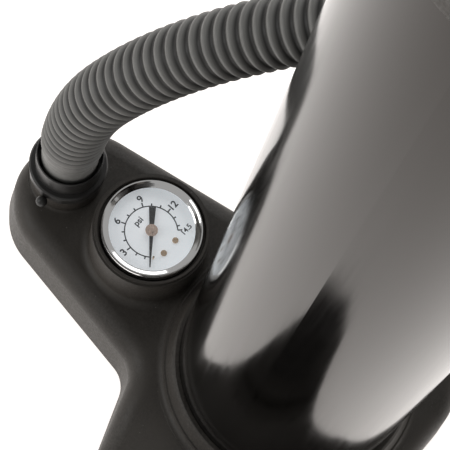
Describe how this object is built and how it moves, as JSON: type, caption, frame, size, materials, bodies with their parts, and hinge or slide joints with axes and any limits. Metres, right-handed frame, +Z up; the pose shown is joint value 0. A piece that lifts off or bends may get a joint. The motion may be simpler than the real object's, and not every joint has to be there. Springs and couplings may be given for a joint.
{
  "type": "double-action hand pump",
  "caption": "Upright double-action hand pump with a moulded base, fold-up foot pads, T-handle, round pressure gauge, bayonet hose port and a corrugated hose ending in a nozzle.",
  "frame": {"origin": "on the barrel's axis, in the plane of the rubber feet's undersides", "axes": "+Z up along the barrel, the gauge and the hose port towards -Y, the foot pads towards +X and -X"},
  "size_m": [0.3488, 0.5194, 0.5475],
  "materials": {
    "base_plastic": "black, fine moulded grain",
    "barrel_steel": "polished",
    "bezel_chrome": "bright plated",
    "lens_clear": "clear",
    "dial_white": "printed",
    "pointer_black": "satin black",
    "brass": "turned",
    "hub_copper": "turned",
    "hose_grey": "corrugated, satin",
    "rubber_black": "matte",
    "steel": "bright",
    "zinc": "zinc plated",
    "inner_plastic": "grey, moulded",
    "liner_aluminium": "drawn",
    "grip_black": "black, ribbed"
  },
  "bodies": {
    "base": {"base_shell": "base_plastic", "base_plate": "base_plastic", "base_screws": "zinc", "base_feet": "rubber_black", "hinge_pin_left": "steel", "hinge_pin_right": "steel", "valve_plate_lower": "inner_plastic", "valve_plate_upper": "inner_plastic", "air_duct": "inner_plastic", "barrel_sleeve": "barrel_steel", "cylinder_liner": "liner_aluminium", "liner_seals": "rubber_black", "top_cap": "base_plastic", "cap_screws": "zinc", "rod_bush": "inner_plastic", "rod_wiper": "rubber_black", "gauge_case": "bezel_chrome", "gauge_stem": "brass", "gauge_nut": "brass", "bourdon_tube": "brass", "gauge_movement": "brass", "gauge_dial": "dial_white", "dial_screws": "brass", "gauge_bezel": "bezel_chrome", "gauge_lens": "lens_clear", "port_seal": "rubber_black", "hose_cuff": "hose_grey", "hose": "hose_grey", "nozzle_cuff": "grip_black", "nozzle": "grip_black", "nozzle_seal": "rubber_black"},
    "piston": {"piston_head": "inner_plastic", "piston_rings": "rubber_black"},
    "plunger": {"piston_rod": "steel", "rod_bolt": "zinc", "bump_ring": "rubber_black", "handle_core": "base_plastic", "handle_grip_front": "grip_black", "handle_grip_rear": "grip_black", "handle_bolt": "zinc"},
    "pad_left": {"foot_pad_left": "base_plastic", "foot_sole_left": "rubber_black", "grip_bars_left": "rubber_black"},
    "pad_right": {"foot_pad_right": "base_plastic", "foot_sole_right": "rubber_black", "grip_bars_right": "rubber_black"},
    "collar": {"hose_collar": "grip_black"},
    "pointer": {"gauge_pointer": "pointer_black", "pointer_hub": "hub_copper"},
    "inlet_lower": {"inlet_valve_lower": "rubber_black"},
    "outlet_lower": {"outlet_valve_lower": "rubber_black"},
    "inlet_upper": {"inlet_valve_upper": "rubber_black"},
    "outlet_upper": {"outlet_valve_upper": "rubber_black"}
  },
  "joints": [
    {"name": "piston_slide", "type": "slide", "parent": "base", "child": "piston", "axis": [0, 0, 1], "range_m": [0, 0.38]},
    {"name": "handle_turn", "type": "hinge", "parent": "piston", "child": "plunger", "pos_m": [0, 0, 0.46], "axis": [0, 0, 1], "continuous": true},
    {"name": "pad_fold_right", "type": "hinge", "parent": "base", "child": "pad_right", "pos_m": [0.0845, 0, 0.01932], "axis": [0, -1, 0], "range_deg": [0, 90]},
    {"name": "pad_fold_left", "type": "hinge", "parent": "base", "child": "pad_left", "pos_m": [-0.0845, 0, 0.01932], "axis": [0, 1, 0], "range_deg": [0, 90]},
    {"name": "collar_turn", "type": "hinge", "parent": "base", "child": "collar", "pos_m": [0, -0.124, 0.054], "axis": [0, 0, 1], "range_deg": [0, 45]},
    {"name": "gauge_needle", "type": "hinge", "parent": "base", "child": "pointer", "pos_m": [0, -0.0792, 0.056], "axis": [0, 0, -1], "range_deg": [0, 262], "stiffness_Nm_per_rad": 0.0002},
    {"name": "inlet_lower_lift", "type": "slide", "parent": "base", "child": "inlet_lower", "axis": [0, 0, 1], "range_m": [0, 0.0025]},
    {"name": "outlet_lower_lift", "type": "slide", "parent": "base", "child": "outlet_lower", "axis": [0, 0, 1], "range_m": [0, 0.0025]},
    {"name": "inlet_upper_lift", "type": "slide", "parent": "base", "child": "inlet_upper", "axis": [0, 0, 1], "range_m": [0, 0.0025]},
    {"name": "outlet_upper_lift", "type": "slide", "parent": "base", "child": "outlet_upper", "axis": [0, 0, 1], "range_m": [0, 0.0025]}
  ]
}
